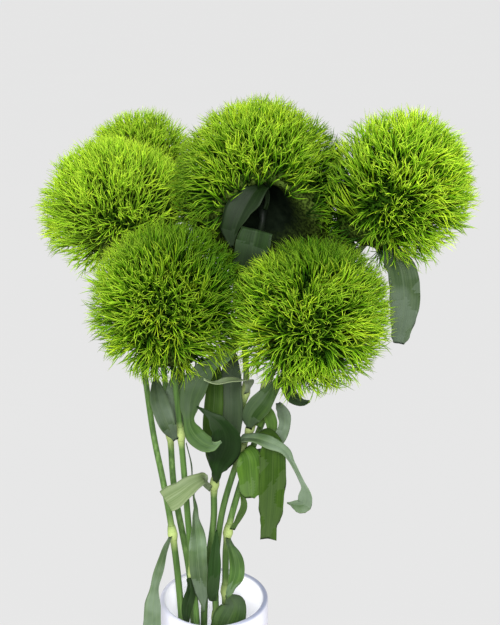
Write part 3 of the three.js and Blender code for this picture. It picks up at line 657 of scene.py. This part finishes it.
def buildLeaf(name, flower, leaf, node):
    placeAt, directionAt, length = midrib(flower, leaf)
    rows = max(blade["leastRows"], round(length / blade["rowStep"]))
    dice = random.Random(node)
    phase, ripples = dice.random(), leaf.get("ripples", length / blade["rippleLength"])
    bm = bmesh.new()
    uvLayer = bm.loops.layers.uv.new("blade")
    toneAndShadeLayer = bm.verts.layers.float.new("toneAndShade")
    toneAndShade = leaf.get("toneAndShade", blade["toneAndShade"])
    toneAndShadeRows = toneAndShade if isinstance(toneAndShade, list) else [(0, toneAndShade), (1, toneAndShade)]
    bmesh.ops.create_grid(bm, x_segments=blade["columns"], y_segments=rows, size=0.5)
    for face in bm.faces:
        for loop in face.loops:
            loop[uvLayer].uv = (loop.vert.co.x + 0.5, loop.vert.co.y + 0.5)
    for vert in bm.verts:
        across, share = vert.co.x, vert.co.y + 0.5
        farSide = 1 if across > 0 else 0  # its edge ripples and frays out of step with the other
        side, face = bladeFrame(directionAt, leaf["faces"], share)
        raggedAt = Vector((share * length / blade["raggedStep"], phase * blade["raggedSpread"],
                           farSide * blade["raggedOffset"]))
        halfWidth = halfWidthAt(leaf, share, across) * (1 + blade["raggedness"] * noise.noise(raggedAt))
        opened = smoothStep(share, 0, blade["flatShare"])
        fold = abs(halfWidth) * blade["foldDepth"] * opened
        ripple = math.sin(2 * math.pi * (share * ripples + phase + farSide * blade["rippleOffset"]))
        ripple *= leaf.get("wave", blade["wave"]) * opened * (2 * abs(across)) ** 2
        rib = blade["ribDepth"] * math.exp(-(across / blade["ribWidth"]) ** 2) * (1 - share)
        vert.co = placeAt(share) + side * halfWidth + face * (fold + ripple - rib)
        vert[toneAndShadeLayer] = rowValue(toneAndShadeRows, share, 1)
    bmesh.ops.solidify(bm, geom=list(bm.faces), thickness=blade["thickness"])
    bmesh.ops.recalc_face_normals(bm, faces=bm.faces)
    for face in bm.faces:
        share = sum(loop[uvLayer].uv.y for loop in face.loops) / len(face.loops)
        _, upward = bladeFrame(directionAt, leaf["faces"], share)
        face.material_index = 0 if face.normal.dot(upward) > 0 else 1
    replaced = [node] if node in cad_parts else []  # one small blade has no solid
    return finishPiece(name, bm, leafFaces[leaf["look"]], "leaf", *replaced)

for name, flower in flowers.items():
    buildStem(name, flower)
    for i, leaf in enumerate(flower["leaves"], 1):
        buildLeaf(f"{name}Blade{i}", flower, leaf, f"{name}_leaf_{i}")
print("stems and leaves built")

# Heads

# `thick` is a bract's radius, and `widths` the shares of it at its `joints`
tuft = dict(
    count=18, nominal=38, widths=[0.85, 1.05, 1, 0.85, 0.45], joints=[0, 0.28, 0.54, 0.78, 1], thick=0.25,
    sides=3, turnSpread=0.4, leanLeast=2, leanMost=32, leanSpread=(0.7, 1.2), footOut=(0.2, 0.9),
    footUp=(-1, 2), sweep=1.15, sweepLeast=0.3, bend=0.5, bendGrowth=1.8, shortBend=1.9, fork=0.32,
    forkFrom=0.3, forkGrowth=2.4, shortShare=0.3, shortEnds=(0.76, 0.9), longEnds=(0.94, 1.02),
)

# `tuftsAt40` is how many tufts a head of 40 mm radius has, `swirl` how far neighbours lean as one, and
# `interlock` how far pressed heads mesh
fringe = dict(
    tuftsAt40=390, variants=14, rootShare=0.56, overreach=1.09, tipSpread=0.07, placeSpread=0.05, tiltMost=20,
    swirl=0.62, swirlScale=3.4, lumps=0.07, lumpScale=2.6, tallMost=1.5, rim=0.6, rimReach=26, bare=-2,
    combReach=40, combFall=1.6, leastReach=2, spin=6.28, firstSeed=40, bulgeFocus=3, bankFocus=4,
    shadeFocus=2, interlock=2.5, taper=0.04, reachMost=1.5,
)
headCore = dict(
    innerShare=0.08, hollowEdge=6, lift=0.01, clear=6, liningTo=6, betweenFrom=26,
)
stalk = dict(
    count=14, turnSpread=0.3, leanMost=5, sunk=2, dip=0.1, bow=0.05, rings=8, sides=6, radii=(0.7, 0.4),
)
golden = math.pi * (3 - math.sqrt(5))

def anyWay(dice):
    return Vector((dice.gauss(0, 1), dice.gauss(0, 1), dice.gauss(0, 1))).normalized()

def addPatches(base, patches, way, focus):  # adds the amounts of the patches that a way points into
    for towards, amount in patches:
        base += amount * max(0, way.dot(Vector(towards).normalized())) ** focus
    return base

def buildTuft(seed):  # a spray of thin bracts along +Z, as high as on a head of nominal radius
    dice = random.Random(seed)
    bm = bmesh.new()
    alongLayer = bm.verts.layers.float.new("along")
    toneLayer = bm.verts.layers.float.new("tone")
    joints = tuft["joints"]
    sweep = anyWay(dice) * tuft["sweep"] * dice.uniform(tuft["sweepLeast"], 1)
    for i in range(tuft["count"]):
        twin = i % 2  # every second bract shares the last one's lower half and forks away from it
        if not twin:
            turn = i * golden + dice.uniform(-tuft["turnSpread"], tuft["turnSpread"])
            outward = Vector((math.cos(turn), math.sin(turn), 0))
            outer = math.sqrt((i + 0.5) / tuft["count"])
            lean = math.radians(mix(tuft["leanLeast"], tuft["leanMost"], outer))
            lean *= dice.uniform(*tuft["leanSpread"])
            short = dice.random() < tuft["shortShare"]
            foot = outward * dice.uniform(*tuft["footOut"]) + Vector((0, 0, dice.uniform(*tuft["footUp"])))
            first = (outward * math.sin(lean) + Vector((0, 0, math.cos(lean)))).normalized()
            turnTo = sweep + anyWay(dice) * tuft["bend"] * (tuft["shortBend"] if short else 1)
            aside = anyWay(dice) * tuft["fork"]
        way, places, ways = first, [Vector((0, 0, 0))], [first]
        for start, end in zip(joints, joints[1:]):
            places.append(places[-1] + way * (end - start))
            forked = aside * (-1 if twin else 1) * (tuft["forkGrowth"] if end > tuft["forkFrom"] else 0)
            way = (way + (turnTo * tuft["bendGrowth"] * end + forked) * (end - start)).normalized()
            ways.append(way)
        root = foot + Vector((0, 0, tuft["nominal"] * fringe["rootShare"]))
        end = tuft["nominal"] * dice.uniform(*tuft["shortEnds" if short else "longEnds"])
        reach = places[-1]
        half = root.dot(reach) / reach.dot(reach)
        length = -half + math.sqrt(half * half + (end * end - root.dot(root)) / reach.dot(reach))
        rings = []
        for place, way, width in zip(places, ways, tuft["widths"]):
            side, up = squareTo(way) if abs(way.y) < 0.99 else (Vector((1, 0, 0)), Vector((0, 0, 1)))
            rings.append((foot + place * length, side, up, tuft["thick"] * width))
        tone = dice.random()
        rod, tip = drawTube(bm, rings, tuft["sides"])
        for vert in rod:
            nearest = min(range(len(rings)), key=lambda ring: (vert.co - rings[ring][0]).length)
            vert[alongLayer] = joints[nearest]
            vert[toneLayer] = tone
        bmesh.ops.pointmerge(bm, verts=tip, merge_co=rings[-1][0])
    bmesh.ops.recalc_face_normals(bm, faces=bm.faces)
    mesh = meshFrom(bm, "tuft")
    for attribute in ("tuft", "toneAndShade", "soft"):
        mesh.attributes.new(attribute, "FLOAT", "POINT")
    return mesh

def setAll(mesh, attribute, value):
    mesh.attributes[attribute].data.foreach_set("value", [value] * len(mesh.vertices))

def buildHead(name, flower, tufts, seed):
    dice = random.Random(seed)
    centre, radius, down = Vector(flower["head"]), flower["radius"], stemSide(flower)
    rim = flower.get("rim", fringe["rim"])
    walls = []  # the planes between this head and the others
    for other in flowers.values():
        if other is not flower:
            towards = Vector(other["head"]) - centre
            between = (towards.length + radius - other["radius"]) / 2
            walls.append((towards.normalized(), between + fringe["interlock"]))

    def pastHollow(way):  # degrees from the edge of the bare hollow, which may be narrower across
        across = (way - down * way.dot(down)).normalized().x
        return math.degrees(way.angle(down)) - flower["hollow"] + flower.get("narrowing", 0) * across ** 2

    def reachOf(way, full):
        for normal, at in walls:
            facing = way.dot(normal)
            if facing > 0:
                full = min(full, at / facing)
        return full

    def bulgeAt(way):
        return addPatches(1, flower["bulges"], way, fringe["bulgeFocus"])

    def rootShareAt(way):  # the bracts spring from further out beside the hollow, and on the banks
        share = mix(rim, fringe["rootShare"], smoothStep(pastHollow(way), 0, fringe["rimReach"]))
        return addPatches(share, flower.get("banks", []), way, fringe["bankFocus"]) * bulgeAt(way)

    bm = bmesh.new()
    for layer in ("along", "tone", "tuft", "toneAndShade", "soft", "shade"):
        bm.verts.layers.float.new(layer)
    layers = dict(bm.verts.layers.float.items())
    bmesh.ops.create_icosphere(bm, subdivisions=5, radius=1)
    for vert in bm.verts:  # here "tuft" says how far a place is under the bracts, "along" how near their feet
        way = vert.co.normalized()
        edge = headCore["hollowEdge"]
        rootShare, closed = rootShareAt(way), smoothStep(pastHollow(way), -edge, edge / 2)
        coreRadius = radius * mix(headCore["innerShare"], rootShare + headCore["lift"], closed)
        vert[layers["tuft"]] = smoothStep(pastHollow(way), headCore["liningTo"], headCore["betweenFrom"])
        vert[layers["along"]] = coreRadius / (radius * rootShare)
        vert.co = centre + way * min(coreRadius, reachOf(way, 2 * radius) - headCore["clear"])
    for face in bm.faces:
        face.material_index = 1

    neck = centre + down * (radius * stem["dentShare"] + seat)
    side, up = squareTo(down)
    branches = flower.get("branches", stalk["count"])
    for i in range(branches):  # the short stalks that carry the tufts, seen from below
        turn = 2 * math.pi * (i + dice.uniform(-stalk["turnSpread"], stalk["turnSpread"])) / branches
        around = side * math.cos(turn) + up * math.sin(turn)
        spread = math.radians(flower["hollow"] + dice.uniform(0, stalk["leanMost"]))
        end = centre + (down * math.cos(spread) + around * math.sin(spread)) * radius * rim
        middle = neck.lerp(end, 0.5) - down * radius * stalk["dip"] + around * radius * stalk["bow"]
        placeAt, directionAt, _ = curveThrough([neck - down * stalk["sunk"], middle, end])
        rings = [(placeAt(share), *squareTo(directionAt(share)), mix(*stalk["radii"], share))
                 for share in np.linspace(0, 1, stalk["rings"])]
        rod, _ = drawTube(bm, rings, stalk["sides"], slot=2)
        # painted shade: the stalks in the hollow are dark all over
        for vert in rod:
            vert[layers["shade"]] = 1

    count = round(fringe["tuftsAt40"] * (radius / 40) ** 2)
    wide = radius / tuft["nominal"]
    standard = tuft["nominal"] * (1 - fringe["rootShare"])
    for i in range(count):
        height = 1 - 2 * (i + 0.5) / count
        ring = math.sqrt(1 - height * height)
        way = Vector((ring * math.cos(golden * i), ring * math.sin(golden * i), height))
        way = (way + anyWay(dice) * fringe["placeSpread"]).normalized()
        fromHollow = pastHollow(way)
        if fromHollow < fringe["bare"]:
            continue
        root = way * radius * rootShareAt(way)
        full = radius * fringe["overreach"] * (1 - fringe["tipSpread"] * dice.random())
        full *= 1 - fringe["lumps"] * (1 + noise.noise(way * fringe["lumpScale"] + centre)) / 2
        full *= bulgeAt(way)
        if reachOf(way, full) < root.length + fringe["leastReach"]:
            continue
        combed = flower.get("combing", 0) * (1 - smoothStep(fromHollow, 0, fringe["combReach"]))
        combed *= min(1, max(0, 1 + fringe["combFall"] * way.z))
        tilted = way + anyWay(dice) * math.tan(math.radians(fringe["tiltMost"])) * dice.random()
        tilted += noise.noise_vector(way * fringe["swirlScale"] + centre) * fringe["swirl"]
        tilted -= Vector(flower["heart"]) + (down - way * down.dot(way)).normalized() * combed
        tilted.normalize()
        half = root.dot(tilted)
        tall = -half + math.sqrt(half * half + full * full - root.dot(root))
        tall = min(tall, standard * wide * fringe["tallMost"]) / standard
        turn = tilted.to_track_quat("Z", "Y").to_matrix().to_4x4()
        turn @= Matrix.Rotation(dice.uniform(0, fringe["spin"]), 4, "Z")
        spray = dice.choice(tufts).copy()
        spray.transform(Matrix.Translation(centre + root) @ turn @ Matrix.Diagonal((wide, wide, tall, 1)))
        setAll(spray, "tuft", dice.random())
        # painted shade: each tuft's green is lowered where the head's shades point, where neighbouring heads
        # shade it
        setAll(spray, "toneAndShade", flower["toneAndShade"] - addPatches(0, flower["shades"], way, fringe["shadeFocus"]))
        setAll(spray, "soft", flower.get("soft", 0))
        bm.from_mesh(spray)
        bpy.data.meshes.remove(spray)

    mesh = meshFrom(bm, name + "Fringe")
    places = np.empty(len(mesh.vertices) * 3)
    mesh.vertices.foreach_get("co", places)
    places = places.reshape(-1, 3) - np.array(centre)
    tone = np.empty(len(mesh.vertices))
    mesh.attributes["tone"].data.foreach_get("value", tone)
    for normal, at in walls:  # bracts of heads that press together stop at the plane between them
        depth = places @ np.array(normal)
        limit = at * (1 - fringe["taper"] * tone)
        shrink = np.where(depth > limit, limit / np.maximum(depth, 1e-6), 1)
        places *= shrink[:, None]
    far = np.linalg.norm(places, axis=1)
    most = radius * fringe["reachMost"]
    places *= np.where(far > most, most / far, 1)[:, None]
    mesh.vertices.foreach_set("co", ((places + np.array(centre)) * mm).ravel())
    mesh.update()
    return placePiece(name + "Fringe", mesh, [bract, core, stemGreen], "bract", name + "_head")

noise.seed_set(2)  # the noise vectors depend on the clock without it
tufts = [buildTuft(seed) for seed in range(fringe["variants"])]
for seed, (name, flower) in enumerate(flowers.items(), fringe["firstSeed"]):
    head = buildHead(name, flower, tufts, seed)
    print(head.name, len(head.data.polygons), "faces")
for mesh in tufts:
    bpy.data.meshes.remove(mesh)

# Floor, light and camera

studio = dict(
    floorSize=60, lens=60, sensor=36, cameraAt=(0.0193, -0.486, 0.476), pitch=72.2, sky=(0.79, 0.79, 0.79, 1),
    skyStrength=1.4, paperGlow=0.765, paper=((0.3, (0.018,) * 3), (0.7, (0.02,) * 3)),
)
lamps = dict(  # metres and watts
    skyLight=dict(at=(-0.1, 0, 1.6), aim=(0, 0.03, 0.33), size=1.2, power=5),
    frontLight=dict(at=(-0.05, -1.5, 1.05), aim=(0, 0, 0.3), size=1.0, power=60),
)

def paperFinish():
    finish = Finish("studio paper", 0.9, Specular_IOR_Level=0.0, Emission_Color=(1, 1, 1, 1),
                    Emission_Strength=studio["paperGlow"])
    finish.colour(finish.ramp(finish.noise(2, 1), *studio["paper"]))
    return finish.material

def layFloor():
    bm = bmesh.new()
    bmesh.ops.create_grid(bm, x_segments=2, y_segments=2, size=studio["floorSize"])
    mesh = meshFrom(bm, "studioFloor")
    mesh.materials.append(paperFinish())
    floor = bpy.data.objects.new("studioFloor", mesh)
    scene.collection.objects.link(floor)

def hangLamp(name, settings):
    lamp = bpy.data.lights.new(name, "AREA")
    lamp.shape = "DISK"
    lamp.size = settings["size"]
    lamp.energy = settings["power"]
    holder = bpy.data.objects.new(name, lamp)
    holder.location = settings["at"]
    aim = Vector(settings["aim"]) - Vector(settings["at"])
    holder.rotation_euler = aim.to_track_quat("-Z", "Y").to_euler()
    scene.collection.objects.link(holder)

layFloor()
for name, settings in lamps.items():
    hangLamp(name, settings)
world = bpy.data.worlds.new("studio")
scene.world = world
world.use_nodes = True
air = world.node_tree.nodes["Background"].inputs
air["Color"].default_value = studio["sky"]
air["Strength"].default_value = studio["skyStrength"]
scene.view_settings.view_transform = "Standard"

lens = bpy.data.cameras.new("camera")
lens.lens = studio["lens"]
lens.sensor_width = studio["sensor"]
camera = bpy.data.objects.new("camera", lens)
camera.location = studio["cameraAt"]
camera.rotation_euler = (math.radians(studio["pitch"]), 0, 0)
scene.collection.objects.link(camera)
scene.camera = camera
print("studio set")
